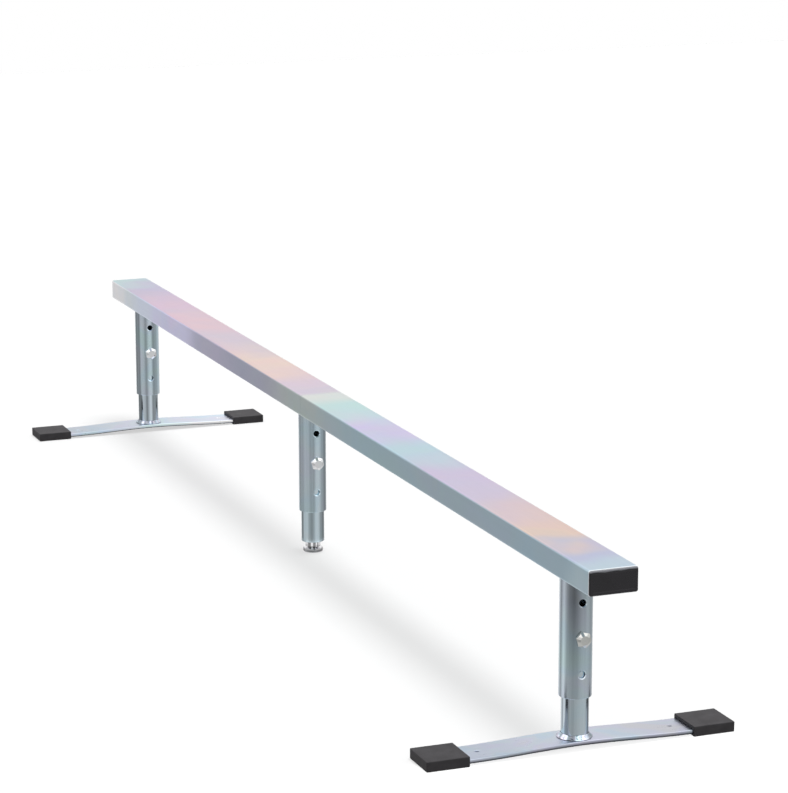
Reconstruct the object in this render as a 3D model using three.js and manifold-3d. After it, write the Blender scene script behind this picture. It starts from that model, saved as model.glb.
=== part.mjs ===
// Skateboard grind rail: a two-piece steel beam on three height-adjustable legs.
// Millimetres, +Z up. The origin lies on the floor under the middle of the beam,
// +X runs along the beam to its near end and +Y runs across it.

import * as THREE from 'three';
import { mergeVertices } from 'three/addons/utils/BufferGeometryUtils.js';
import Module from 'manifold-3d';

const wasm = await Module();
wasm.setup();

// Clearances
const fitGap = 0.3;
const seamGap = 0.4;
const legRunningGap = 1;
const crossHoleGap = 0.3;
const threadGap = 0.3;
const cutOverrun = 2;

// Beam: rectangular tube
const beamLength = 1880;
const beamWidth = 60;
const beamHeight = 30;
const beamWall = 2;
const beamCorner = 3;
const beamTop = 234;

// End plugs
const plugFlange = 2;
const plugInset = 0.5;
const plugDepth = 16;
const plugWall = 2;
const plugCorner = 2.5;

// Joint sleeve inside the beam, with its screws and nuts
const sleeveLength = 270;
const sleeveWall = 2;
const sleeveScrewShares = [-0.85, -0.6, 0.6, 0.85];
const screwDiameter = 6;
const screwHeadDiameter = 10.5;
const screwHeadHeight = 3.3;
const screwCrownShare = 0.35;
const screwKeyAcross = 4;
const screwKeyDepth = 2;
const screwTipLength = 2;
const sleeveNutAcross = 10;
const sleeveNutHeight = 5;

// Leg sockets: outer tubes with cross holes
const endLegInset = 98;
const centreLegOffset = -38;
const socketDiameter = 38;
const socketWall = 2;
const socketLength = 144.5;
const holeDrop = 31.5;
const holePitch = 42;
const holeCount = 3;
const boltHoleIndex = 1;
const socketWeldLeg = 4;

// Inner leg tubes
const legWall = 2;
const legTopClearance = 5;

// Height bolts, washers and nuts
const boltDiameter = 10;
const boltLength = 50;
const boltHeadAcross = 17;
const boltHeadHeight = 6.4;
const washerDiameter = 20;
const washerThickness = 2;
const nutHeight = 8;

// Foot plates, weld collars and rubber caps
const footSpan = 382;
const plateWidth = 46;
const plateThickness = 5;
const plateRise = 3.8;
const plateCorner = 4;
const plateHoleDiameter = 5.5;
const plateHoleInset = 19;
const footWeldLeg = 5;
const footWeldHeight = 5;
const capLength = 52;
const capSideWall = 2.7;
const capBottomWall = 2.2;
const capTopWall = 4.2;
const capEndWall = 4.7;
const capCorner = 1.8;
const capEdge = 0.6;

// Screw foot under the centre leg
const footDiscDiameter = 28;
const footDiscThickness = 5.5;
const footDiscEdge = 1.2;
const studDiameter = 12;
const studReach = 44;
const lockNutAcross = 19;
const lockNutHeight = 9.4;
const insertHeight = 14;

// Facets
const tubeSegments = 32;
const holeSegments = 16;
const cornerSegments = 3;
const archSteps = 24;
const hexSides = 6;
const blankSegments = 20;
const hexChamferShare = 0.58;
const hexReachShare = 1.25;
const weldHollowShare = 0.35;

// Places worked out from the sizes above
const beamUnderside = beamTop - beamHeight;
const socketBore = socketDiameter - 2 * socketWall;
const legDiameter = socketBore - 2 * legRunningGap;
const legBore = legDiameter - 2 * legWall;
const crossHoleDiameter = boltDiameter + 2 * crossHoleGap;
const boltHeight = beamUnderside - holeDrop - boltHoleIndex * holePitch;
const legTop = beamUnderside - legTopClearance - boltHoleIndex * holePitch;
const plateLow = capBottomWall + fitGap;
const plateCrown = plateLow + plateRise + plateThickness;
const plateHalfLength = footSpan / 2 - capEndWall - fitGap;
const archHalfLength = footSpan / 2 - capLength;
const endLegPlace = beamLength / 2 - endLegInset;

// Finishes
const zincBright = new THREE.MeshStandardMaterial({ color: 0xaab6be, roughness: 0.32, metalness: 0.9 });
const zincBeam = new THREE.MeshStandardMaterial({ color: 0xb9c6cf, roughness: 0.38, metalness: 0.85 });
const zincPlate = new THREE.MeshStandardMaterial({ color: 0xb8bfd0, roughness: 0.36, metalness: 0.85 });
const boltSteel = new THREE.MeshStandardMaterial({ color: 0xc6c9cb, roughness: 0.28, metalness: 0.95 });
const weldSteel = new THREE.MeshStandardMaterial({ color: 0xb4bcc6, roughness: 0.3, metalness: 0.9 });
const rubber = new THREE.MeshStandardMaterial({ color: 0x474445, roughness: 0.85, metalness: 0 });
const plugPlastic = new THREE.MeshStandardMaterial({ color: 0x2c2a2e, roughness: 0.6, metalness: 0 });

// A closed geometry as a solid, with shared corners merged and empty triangles dropped
function solidFrom(geometry) {
  const bare = geometry.clone();
  bare.deleteAttribute('normal');
  bare.deleteAttribute('uv');
  const merged = mergeVertices(bare);
  const corners = merged.index.array;
  const kept = [];
  for (let first = 0; first < corners.length; first += 3) {
    const [a, b, c] = corners.slice(first, first + 3);
    if (a !== b && b !== c && c !== a) {
      kept.push(a, b, c);
    }
  }
  const vertProperties = new Float32Array(merged.attributes.position.array);
  const triVerts = new Uint32Array(kept);
  return new wasm.Manifold(new wasm.Mesh({ numProp: 3, vertProperties, triVerts }));
}

// A solid back as a geometry
function geometryFrom(solid) {
  const { vertProperties, triVerts } = solid.getMesh();
  const geometry = new THREE.BufferGeometry();
  geometry.setAttribute('position', new THREE.BufferAttribute(vertProperties, 3));
  geometry.setIndex(new THREE.BufferAttribute(triVerts, 1));
  geometry.computeVertexNormals();
  return geometry;
}

// A named mesh of one solid, added to its group
function addPiece(group, name, solid, material) {
  const mesh = new THREE.Mesh(geometryFrom(solid), material);
  mesh.name = name;
  group.add(mesh);
  return mesh;
}

// A round solid on the Z axis from a profile of [radius, height] points that goes
// up the outside, and closes on the axis or on its own first point
function turned(profile, segments) {
  const points = profile.map(([radius, height]) => new THREE.Vector2(radius, height));
  const geometry = new THREE.LatheGeometry(points, segments);
  geometry.rotateX(Math.PI / 2);
  return solidFrom(geometry);
}

// A plain round bar on the Z axis
function roundBar(diameter, bottom, top, segments) {
  const radius = diameter / 2;
  return turned([[0, bottom], [radius, bottom], [radius, top], [0, top]], segments);
}

// A round tube on the Z axis
function roundTube(outerDiameter, innerDiameter, bottom, top) {
  const outer = outerDiameter / 2;
  const inner = innerDiameter / 2;
  const profile = [[inner, bottom], [outer, bottom], [outer, top], [inner, top], [inner, bottom]];
  return turned(profile, tubeSegments);
}

// A weld fillet round a tube: it is high at the tube, wide at the plate and hollow between.
// A rise below zero hangs it under the plate.
function filletRing(tubeDiameter, seat, leg, rise) {
  const inner = tubeDiameter / 2 + fitGap;
  const outer = inner + leg;
  const middle = [inner + leg * weldHollowShare, seat + rise * weldHollowShare];
  const profile = [[inner, seat], [outer, seat], middle, [inner, seat + rise], [inner, seat]];
  return turned(rise > 0 ? profile : profile.reverse(), tubeSegments);
}

// A rectangle with round corners, centred on the origin
function roundedRectangle(width, height, radius) {
  const shape = new THREE.Shape();
  const right = width / 2 - radius;
  const top = height / 2 - radius;
  const quarter = Math.PI / 2;
  shape.absarc(right, -top, radius, -quarter, 0);
  shape.absarc(right, top, radius, 0, quarter);
  shape.absarc(-right, top, radius, quarter, 2 * quarter);
  shape.absarc(-right, -top, radius, 2 * quarter, 3 * quarter);
  shape.closePath();
  return shape;
}

// A shape drawn across the beam, carried along X from one place to another
function extrudedAlongX(shape, from, to) {
  const settings = { depth: to - from, bevelEnabled: false, curveSegments: cornerSegments };
  const geometry = new THREE.ExtrudeGeometry(shape, settings);
  const across = new THREE.Vector3(0, 1, 0);
  const up = new THREE.Vector3(0, 0, 1);
  const along = new THREE.Vector3(1, 0, 0);
  geometry.applyMatrix4(new THREE.Matrix4().makeBasis(across, up, along));
  geometry.translate(from, 0, 0);
  return solidFrom(geometry);
}

// A rectangular tube along X with its axis on the X axis
function rectangularTube(width, height, corner, wall, from, to) {
  const shape = roundedRectangle(width, height, corner);
  const innerCorner = Math.max(corner - wall, wall / 2);
  shape.holes.push(roundedRectangle(width - 2 * wall, height - 2 * wall, innerCorner));
  return extrudedAlongX(shape, from, to);
}

// A plain box between two corners
function boxBetween(low, high) {
  const size = high.map((value, axis) => value - low[axis]);
  const geometry = new THREE.BoxGeometry(...size);
  geometry.translate(...low.map((value, axis) => value + size[axis] / 2));
  return solidFrom(geometry);
}

// A round cutter along X through the whole socket at one height
function crossCutter(diameter, height) {
  const length = socketDiameter + 2 * cutOverrun;
  const geometry = new THREE.CylinderGeometry(diameter / 2, diameter / 2, length, holeSegments);
  geometry.rotateZ(Math.PI / 2);
  geometry.translate(0, 0, height);
  return solidFrom(geometry);
}

// A hexagonal prism on the Z axis with two of its corners on the X axis
function hexPrism(across, bottom, top) {
  const radius = across / 2 / Math.cos(Math.PI / hexSides);
  const height = top - bottom;
  const geometry = new THREE.CylinderGeometry(radius, radius, height, hexSides, 1, false, Math.PI / hexSides);
  geometry.rotateX(Math.PI / 2);
  geometry.translate(0, 0, bottom + height / 2);
  return solidFrom(geometry);
}

// A hexagon whose corners are turned down to a cone at its top, and at its bottom too where asked.
// The cone runs on past the corners, so that it alone trims them.
function chamferedHex(across, bottom, top, bothEnds) {
  const flat = across / 2;
  const reach = flat * hexReachShare;
  const drop = (reach - flat) * hexChamferShare;
  const low = bothEnds ? [[0, bottom], [flat, bottom], [reach, bottom + drop]] : [[0, bottom], [reach, bottom]];
  const blank = turned([...low, [reach, top - drop], [flat, top], [0, top]], blankSegments);
  return hexPrism(across, bottom, top).intersect(blank);
}

// One half of the beam, with the screw holes on its own side of the seam
function beamHalf(side) {
  const seam = side * seamGap / 2;
  const end = side * (beamLength / 2 - plugFlange - fitGap);
  const from = Math.min(seam, end);
  const to = Math.max(seam, end);
  let solid = rectangularTube(beamWidth, beamHeight, beamCorner, beamWall, from, to);
  for (const place of sleeveScrewPlaces()) {
    if (Math.sign(place) === side) {
      solid = solid.subtract(screwCutter(place));
    }
  }
  return solid;
}

// Where the sleeve's screws stand along the beam
function sleeveScrewPlaces() {
  return sleeveScrewShares.map((share) => share * sleeveLength / 2);
}

// A screw hole up through the beam's lower wall and the sleeve's, below the tube's middle
function screwCutter(place) {
  const diameter = screwDiameter + 2 * threadGap;
  const bottom = -beamHeight / 2 - cutOverrun;
  return roundBar(diameter, bottom, 0, holeSegments).translate([place, 0, 0]);
}

// The sleeve that joins the halves
function jointSleeve() {
  const width = beamWidth - 2 * beamWall - 2 * fitGap;
  const height = beamHeight - 2 * beamWall - 2 * fitGap;
  const corner = beamCorner - beamWall + fitGap;
  const half = sleeveLength / 2;
  let solid = rectangularTube(width, height, corner, sleeveWall, -half, half);
  for (const place of sleeveScrewPlaces()) {
    solid = solid.subtract(screwCutter(place));
  }
  return solid;
}

// A button-head screw that stands head down, with its seat at zero
function sleeveScrew() {
  const head = screwHeadDiameter / 2;
  const shank = screwDiameter / 2;
  const grip = fitGap + beamWall + fitGap + sleeveWall + fitGap + sleeveNutHeight;
  const crown = head * screwCrownShare;
  const profile = [
    [0, -screwHeadHeight],
    [head - crown, -screwHeadHeight],
    [head, -screwHeadHeight / 2],
    [head, 0],
    [shank, 0],
    [shank, grip + screwTipLength],
    [0, grip + screwTipLength],
  ];
  const key = hexPrism(screwKeyAcross, -screwHeadHeight - cutOverrun, screwKeyDepth - screwHeadHeight);
  return turned(profile, holeSegments).subtract(key);
}

// A hex nut on the Z axis that stands on zero
function hexNut(across, height, threadDiameter) {
  const bore = roundBar(threadDiameter + 2 * threadGap, -cutOverrun, height + cutOverrun, holeSegments);
  return chamferedHex(across, 0, height, true).subtract(bore);
}

// The plug in one end of the beam: a flange a little smaller than the end,
// and a hollow spigot inside the tube
function endPlug() {
  const face = roundedRectangle(beamWidth - 2 * plugInset, beamHeight - 2 * plugInset, plugCorner);
  const flange = extrudedAlongX(face, -plugFlange, 0);
  const width = beamWidth - 2 * beamWall - 2 * fitGap;
  const height = beamHeight - 2 * beamWall - 2 * fitGap;
  const corner = beamCorner - beamWall + fitGap;
  const spigotEnd = -plugFlange - plugDepth;
  const spigot = rectangularTube(width, height, corner, plugWall, spigotEnd, -plugFlange / 2);
  return flange.add(spigot);
}

// One leg socket with its three cross holes
function legSocket() {
  const top = beamUnderside - fitGap;
  let solid = roundTube(socketDiameter, socketBore, beamUnderside - socketLength, top);
  for (let hole = 0; hole < holeCount; hole += 1) {
    const height = beamUnderside - holeDrop - hole * holePitch;
    solid = solid.subtract(crossCutter(crossHoleDiameter, height));
  }
  return solid;
}

// One inner leg tube. The slot that the bolt stands in is open at the tube's top,
// so the tube passes the bolt by one hole pitch up or down.
function legTube(bottom) {
  const slotWidth = boltDiameter + 2 * threadGap;
  const slotEnd = boltHeight - holePitch;
  const reach = legDiameter / 2 + cutOverrun;
  const low = [-reach, -slotWidth / 2, slotEnd];
  const high = [reach, slotWidth / 2, legTop + cutOverrun];
  const tube = roundTube(legDiameter, legBore, bottom, legTop);
  return tube.subtract(boxBetween(low, high)).subtract(crossCutter(slotWidth, slotEnd));
}

// A hex bolt whose shank points down from its seat at zero
function heightBolt() {
  const tip = boltDiameter / 2 - threadGap;
  const radius = boltDiameter / 2;
  const root = boltHeadHeight / 2;
  const profile = [[0, -boltLength], [tip, -boltLength], [radius, threadGap - boltLength], [radius, root], [0, root]];
  const shank = turned(profile, holeSegments);
  return chamferedHex(boltHeadAcross, 0, boltHeadHeight, false).add(shank);
}

// A flat washer that stands on zero
function washer() {
  const bore = boltDiameter + 2 * threadGap;
  return roundTube(washerDiameter, bore, 0, washerThickness);
}

// The height of a foot plate's underside: a smooth hump between flat ends
function plateUnderside(across) {
  const reach = Math.min(Math.abs(across), archHalfLength) / archHalfLength;
  return plateLow + plateRise * (1 + Math.cos(Math.PI * reach)) / 2;
}

// An arched flat bar with round corners and two floor-fixing holes
function footPlate() {
  const shape = new THREE.Shape();
  const places = [-plateHalfLength];
  for (let step = 0; step <= archSteps; step += 1) {
    places.push(archHalfLength * (2 * step / archSteps - 1));
  }
  places.push(plateHalfLength);
  shape.moveTo(places[0], plateUnderside(places[0]));
  for (const across of places.slice(1)) {
    shape.lineTo(across, plateUnderside(across));
  }
  for (const across of places.slice().reverse()) {
    shape.lineTo(across, plateUnderside(across) + plateThickness);
  }
  shape.closePath();
  let solid = extrudedAlongX(shape, -plateWidth / 2, plateWidth / 2);
  const outline = roundedRectangle(plateWidth, 2 * plateHalfLength, plateCorner);
  const settings = { depth: plateCrown + cutOverrun, bevelEnabled: false, curveSegments: cornerSegments };
  solid = solid.intersect(solidFrom(new THREE.ExtrudeGeometry(outline, settings)));
  for (const side of [-1, 1]) {
    const place = side * (archHalfLength - plateHoleInset);
    const hole = roundBar(plateHoleDiameter, 0, plateCrown + cutOverrun, holeSegments);
    solid = solid.subtract(hole.translate([0, place, 0]));
  }
  return solid;
}

// A rubber cap for the plate's end at +Y, with a pocket that the bar's end fills
function footCap() {
  const width = plateWidth + 2 * fitGap + 2 * capSideWall;
  const height = plateLow + plateThickness + fitGap + capTopWall;
  const outline = roundedRectangle(width - 2 * capEdge, capLength - 2 * capEdge, capCorner);
  const settings = {
    depth: height - 2 * capEdge,
    bevelEnabled: true,
    bevelThickness: capEdge,
    bevelSize: capEdge,
    bevelSegments: 1,
    curveSegments: cornerSegments,
  };
  const geometry = new THREE.ExtrudeGeometry(outline, settings);
  geometry.translate(0, footSpan / 2 - capLength / 2, capEdge);
  const pocketHalf = plateWidth / 2 + fitGap;
  const low = [-pocketHalf, archHalfLength - cutOverrun, plateLow - fitGap];
  const high = [pocketHalf, plateHalfLength + fitGap, plateLow + plateThickness + fitGap];
  return solidFrom(geometry).subtract(boxBetween(low, high));
}

// The screw foot: a disc on the floor and its threaded stud
function screwFoot() {
  const disc = footDiscDiameter / 2;
  const stud = studDiameter / 2;
  const profile = [
    [0, 0],
    [disc - footDiscEdge, 0],
    [disc, footDiscEdge],
    [disc, footDiscThickness - footDiscEdge],
    [disc - footDiscEdge, footDiscThickness],
    [stud, footDiscThickness],
    [stud, footDiscThickness + studReach],
    [0, footDiscThickness + studReach],
  ];
  return turned(profile, tubeSegments);
}

// The round threaded insert in the centre leg's lower end, which stands on zero
function tubeInsert() {
  return roundTube(legBore - 2 * fitGap, studDiameter + 2 * threadGap, 0, insertHeight);
}

// The beam with its plugs, sleeve, screws and nuts
function buildBeam() {
  const beam = new THREE.Group();
  beam.position.set(0, 0, beamTop - beamHeight / 2);
  addPiece(beam, 'beam_half_near', beamHalf(1), zincBeam);
  addPiece(beam, 'beam_half_far', beamHalf(-1), zincBeam);
  addPiece(beam, 'joint_sleeve', jointSleeve(), zincBright);
  const nearPlug = addPiece(beam, 'end_plug_near', endPlug(), plugPlastic);
  nearPlug.position.set(beamLength / 2, 0, 0);
  const farPlug = addPiece(beam, 'end_plug_far', endPlug(), plugPlastic);
  farPlug.position.set(-beamLength / 2, 0, 0);
  farPlug.rotation.z = Math.PI;
  sleeveScrewPlaces().forEach((place, index) => {
    const screw = addPiece(beam, `sleeve_screw_${index + 1}`, sleeveScrew(), boltSteel);
    screw.position.set(place, 0, -beamHeight / 2 - fitGap);
    const nut = hexNut(sleeveNutAcross, sleeveNutHeight, screwDiameter);
    const nutMesh = addPiece(beam, `sleeve_nut_${index + 1}`, nut, boltSteel);
    nutMesh.position.set(place, 0, beamWall + fitGap + sleeveWall + fitGap - beamHeight / 2);
  });
  return beam;
}

// One leg: its socket, weld, inner tube, bolt, washer and nut
function buildLeg(name, place, tubeBottom) {
  const leg = new THREE.Group();
  leg.position.set(place, 0, 0);
  addPiece(leg, `leg_socket_${name}`, legSocket(), zincBright);
  const seat = beamUnderside - fitGap;
  addPiece(leg, `socket_weld_${name}`, filletRing(socketDiameter, seat, socketWeldLeg, -socketWeldLeg), weldSteel);
  addPiece(leg, `inner_tube_${name}`, legTube(tubeBottom), zincBright);
  const fastener = new THREE.Group();
  fastener.position.set(0, 0, boltHeight);
  fastener.rotation.y = Math.PI / 2;
  const bolt = addPiece(fastener, `height_bolt_${name}`, heightBolt(), boltSteel);
  bolt.position.set(0, 0, socketDiameter / 2 + fitGap);
  const washerTop = -socketDiameter / 2 - fitGap;
  const washerMesh = addPiece(fastener, `bolt_washer_${name}`, washer(), boltSteel);
  washerMesh.position.set(0, 0, washerTop - washerThickness);
  const nut = hexNut(boltHeadAcross, nutHeight, boltDiameter);
  const nutMesh = addPiece(fastener, `bolt_nut_${name}`, nut, boltSteel);
  nutMesh.position.set(0, 0, washerTop - washerThickness - fitGap - nutHeight);
  leg.add(fastener);
  return leg;
}

// What stands on the floor under an end leg: plate, weld collar and two caps
function addPlateFoot(leg, name) {
  addPiece(leg, `foot_plate_${name}`, footPlate(), zincPlate);
  const seat = plateCrown + fitGap;
  addPiece(leg, `foot_weld_${name}`, filletRing(legDiameter, seat, footWeldLeg, footWeldHeight), weldSteel);
  addPiece(leg, `foot_cap_${name}_right`, footCap(), rubber);
  const leftCap = addPiece(leg, `foot_cap_${name}_left`, footCap(), rubber);
  leftCap.rotation.z = Math.PI;
}

// What stands on the floor under the centre leg: screw foot, lock nut and insert
function addScrewFoot(leg, tubeBottom) {
  addPiece(leg, 'screw_foot', screwFoot(), boltSteel);
  const lockNut = addPiece(leg, 'foot_lock_nut', hexNut(lockNutAcross, lockNutHeight, studDiameter), boltSteel);
  lockNut.position.set(0, 0, footDiscThickness + fitGap);
  const insert = addPiece(leg, 'tube_insert', tubeInsert(), boltSteel);
  insert.position.set(0, 0, tubeBottom);
}

const grindRail = new THREE.Group();
grindRail.add(buildBeam());

const plateTubeBottom = plateCrown + fitGap;
for (const [name, side] of [['near', 1], ['far', -1]]) {
  const leg = buildLeg(name, side * endLegPlace, plateTubeBottom);
  addPlateFoot(leg, name);
  grindRail.add(leg);
}

const screwTubeBottom = footDiscThickness + fitGap + lockNutHeight + fitGap;
const centreLeg = buildLeg('centre', centreLegOffset, screwTubeBottom);
addScrewFoot(centreLeg, screwTubeBottom);
grindRail.add(centreLeg);

export default grindRail;
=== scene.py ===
import math

import bmesh
import bpy
import numpy as np
from mathutils import Matrix, Vector


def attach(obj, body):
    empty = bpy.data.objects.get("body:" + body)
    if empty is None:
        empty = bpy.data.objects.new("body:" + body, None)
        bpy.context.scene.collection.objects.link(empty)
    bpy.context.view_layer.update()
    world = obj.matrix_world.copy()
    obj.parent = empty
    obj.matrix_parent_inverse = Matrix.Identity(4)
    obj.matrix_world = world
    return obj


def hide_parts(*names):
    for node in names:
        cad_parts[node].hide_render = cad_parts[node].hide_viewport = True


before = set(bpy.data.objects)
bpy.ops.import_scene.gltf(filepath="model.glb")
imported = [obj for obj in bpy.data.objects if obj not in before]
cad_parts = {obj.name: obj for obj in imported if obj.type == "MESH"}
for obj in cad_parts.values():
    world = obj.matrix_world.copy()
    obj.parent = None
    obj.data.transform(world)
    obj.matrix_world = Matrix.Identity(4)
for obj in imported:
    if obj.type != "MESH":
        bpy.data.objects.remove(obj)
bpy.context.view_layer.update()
scene = bpy.context.scene
scene.view_settings.view_transform = "Standard"

# Camera
# It stands where the straight edges of the beam, legs and plates in the photograph put it:
# 1.1 m above the floor beyond the near end, looking along the beam and a little down.
camera_place = (3.757647, -1.351135, 1.125561)
camera_yaw = 0.370311
camera_pitch = 0.220806
camera_roll = -0.001146
frame_long_side = 793
focal_length_in_pixels = 2970.795
sensor_width = 36

forward = Vector((
    -math.cos(camera_yaw) * math.cos(camera_pitch),
    math.sin(camera_yaw) * math.cos(camera_pitch),
    -math.sin(camera_pitch),
))
level = forward.cross(Vector((0, 0, 1))).normalized()
upright = level.cross(forward)
right = math.cos(camera_roll) * level + math.sin(camera_roll) * upright
up = math.cos(camera_roll) * upright - math.sin(camera_roll) * level
camera_data = bpy.data.cameras.new("camera")
camera_data.sensor_width = sensor_width
camera_data.lens = focal_length_in_pixels * sensor_width / frame_long_side
camera = bpy.data.objects.new("camera", camera_data)
camera.matrix_world = Matrix.Translation(camera_place) @ Matrix((right, up, -forward)).transposed().to_4x4()
scene.collection.objects.link(camera)
scene.camera = camera

# Beam halves
# Two lengths of 60 x 30 mm rectangular steel tube, cold-formed with tight round corners, sawn
# square and deburred, butted at a crosswise seam. They are zinc plated, and the passivation
# leaves a pastel rainbow film that drifts along the top.
MM = 0.001
beam_length = 1880.0
beam_width = 60.0
beam_height = 30.0
beam_top = 234.0
beam_wall = 2.0
beam_corner = 3.0
beam_middle_height = beam_top - beam_height / 2
beam_underside = beam_top - beam_height
half_seam = 0.2
plug_flange = 2.0
fit_gap = 0.3
beam_end = beam_length / 2 - plug_flange - fit_gap
seam_lip = 0.12
end_lip = 0.6


def ring_faces(rings, around):
    """Quads between the neighbouring rings of a stack, each ring closed on itself: place p of
    ring r joins place p + 1 and ring r + 1."""
    ring, place = np.meshgrid(np.arange(rings - 1), np.arange(around), indexing="ij")
    here, beside = ring * around + place, ring * around + (place + 1) % around
    return np.stack([here, beside, beside + around, here + around], -1).reshape(-1, 4)


def make_piece(name, points, material, faces=None, sharp_degrees=38.0):
    """A closed mesh object from points in millimetres, which are a stack of rings unless faces
    are given. Points that coincide are merged, which closes seams and poles, faces are turned
    outwards, and the shading is smooth except at edges that turn by more than the sharp angle."""
    merge_distance = 1e-6
    if faces is None:
        faces = ring_faces(*points.shape[:2])
    mesh = bpy.data.meshes.new(name)
    mesh.from_pydata(points.reshape(-1, 3) * MM, [], faces)
    shell = bmesh.new()
    shell.from_mesh(mesh)
    bmesh.ops.remove_doubles(shell, verts=shell.verts, dist=merge_distance)
    bmesh.ops.recalc_face_normals(shell, faces=shell.faces)
    shell.to_mesh(mesh)
    shell.free()
    mesh.shade_smooth()
    mesh.set_sharp_from_angle(angle=math.radians(sharp_degrees))
    mesh.materials.append(material)
    piece = bpy.data.objects.new(name, mesh)
    scene.collection.objects.link(piece)
    return piece


def lip_arc(lip, steps=4):
    """A quarter circle over a rim's edge: how far each place is from the rim, and how deep."""
    turn = np.linspace(0, math.pi / 2, steps + 1)
    return lip * (1 - np.sin(turn)), lip * (1 - np.cos(turn))


def wall_outline(low, high, wall, low_lip, high_lip, support=1.0):
    """A tube wall's outline as places along the tube and depths under its outer face. It goes up
    the outer face, over the high rim, down the bore and over the low rim. Each rim edge is a
    quarter circle of that rim's lip, with one more place on the face beside it."""
    (low_back, low_sunk), (high_back, high_sunk) = lip_arc(low_lip), lip_arc(high_lip)
    low_back, high_back = np.append(low_lip + support, low_back), np.append(high_lip + support, high_back)
    low_sunk, high_sunk = np.append(0, low_sunk), np.append(0, high_sunk)
    places = [low + low_back[::-1], high - high_back, high - high_back[::-1], low + low_back,
              low + low_back[-1:]]
    depths = [low_sunk[::-1], high_sunk, wall - high_sunk[::-1], wall - low_sunk, low_sunk[-1:]]
    return np.concatenate(places), np.concatenate(depths)


def rectangle_rings(widths, heights, corners, steps=5, support=1.0):
    """One ring of points per station round a rectangle with round corners. Each corner is a
    quarter circle with one more point on the flat either side of it, so that the flats stay
    flat in the shading."""
    most = 0.45
    turn = np.linspace(0, math.pi / 2, steps + 1)
    width, height, corner = (np.asarray(value, float)[:, None] for value in (widths, heights, corners))
    across, upward = [], []
    for quarter, (side, level_side) in enumerate([(1, 1), (-1, 1), (-1, -1), (1, -1)]):
        angle = turn + quarter * math.pi / 2
        arc_across = side * (width / 2 - corner) + corner * np.cos(angle)
        arc_up = level_side * (height / 2 - corner) + corner * np.sin(angle)
        before, after = (height, width) if quarter % 2 == 0 else (width, height)
        lead, trail = (np.minimum(support, most * np.maximum(flat - 2 * corner, 0))
                       for flat in (before, after))
        first, last = angle[0], angle[-1]
        across += [arc_across[:, :1] + lead * math.sin(first), arc_across,
                   arc_across[:, -1:] - trail * math.sin(last)]
        upward += [arc_up[:, :1] - lead * math.cos(first), arc_up,
                   arc_up[:, -1:] + trail * math.cos(last)]
    return np.concatenate(across, 1), np.concatenate(upward, 1)


def box_tube(low, high, low_lip, high_lip):
    """The beam's tube from one place along X to another: its wall's outline carried round the
    rectangle, each ring smaller by its depth."""
    places, depths = wall_outline(low, high, beam_wall, low_lip, high_lip)
    across, upward = rectangle_rings(beam_width - 2 * depths, beam_height - 2 * depths, beam_corner - depths)
    along = np.broadcast_to(places[:, None], across.shape)
    return np.stack([along, across, upward + beam_middle_height], -1)


def feed(tree, node, inputs):
    """Sets a node's inputs by name or number: an output is linked to its socket, and a number or
    colour is set on it."""
    for key, value in dict(inputs).items():
        if isinstance(value, bpy.types.NodeSocket):
            tree.links.new(value, node.inputs[key])
        else:
            node.inputs[key].default_value = value


def add_node(tree, kind, inputs=(), **settings):
    """A new shader node with its settings and inputs."""
    node = tree.nodes.new("ShaderNode" + kind)
    for name, value in settings.items():
        setattr(node, name, value)
    feed(tree, node, inputs)
    return node


def maths(tree, operation, *values):
    """A Math node's value."""
    return add_node(tree, "Math", enumerate(values), operation=operation).outputs["Value"]


def spanned(tree, interpolation, *values):
    """A Map Range node's result, from a value, its range and the new range."""
    return add_node(tree, "MapRange", enumerate(values), interpolation_type=interpolation).outputs["Result"]


def mixed(tree, blend, share, first, second):
    """A Mix node's colour."""
    node = add_node(tree, "Mix", data_type="RGBA", blend_type=blend)
    feed(tree, node, {"Factor": share, "A": first, "B": second})
    return node.outputs["Result"]


def noise(tree, place, scale, detail=2.0, distortion=0.0):
    """A noise texture's value, from 0 to 1."""
    inputs = {"Vector": place, "Scale": scale, "Detail": detail, "Distortion": distortion}
    return add_node(tree, "TexNoise", inputs).outputs["Fac"]


def ramp(tree, share, stops, interpolation="LINEAR"):
    """A colour ramp over (place, colour) stops in order. A single number is a grey."""
    node = add_node(tree, "ValToRGB", {"Fac": share})
    node.color_ramp.interpolation = interpolation
    elements = node.color_ramp.elements
    while len(elements) < len(stops):
        elements.new(1.0)
    for element, (place, colour) in zip(elements, stops):
        element.position = place
        element.color = (*np.broadcast_to(colour, 3), 1.0)
    return node.outputs["Color"]


def coordinates(tree, kind="Object"):
    """A texture coordinate: by default the place on the object, in metres."""
    return add_node(tree, "TexCoord").outputs[kind]


def axes(tree, vector):
    """A vector's X, Y and Z, by name."""
    return add_node(tree, "SeparateXYZ", {"Vector": vector}).outputs


def new_material(name):
    """A material, its node tree and its shader."""
    material = bpy.data.materials.new(name)
    material.use_nodes = True
    return material, material.node_tree, material.node_tree.nodes["Principled BSDF"]


film_inputs = {
    "Metal": "Color", "Tint": "Float", "Patches per metre": "Float", "Lines per metre": "Vector",
    "Roughness": "Float", "Unevenness": "Float",
}
film_outputs = {"Color": "Color", "Roughness": "Float", "Height": "Float"}
film_tints = [
    (0.30, (0.86, 1.00, 0.95)), (0.42, (0.86, 0.95, 1.06)), (0.50, (0.97, 0.97, 1.0)),
    (0.58, (1.00, 0.90, 1.04)), (0.70, (1.06, 0.93, 0.92)),
]
line_shades = (0.93, 1.05)
mottle_per_metre = 55.0
plating_bump = 0.35


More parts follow.
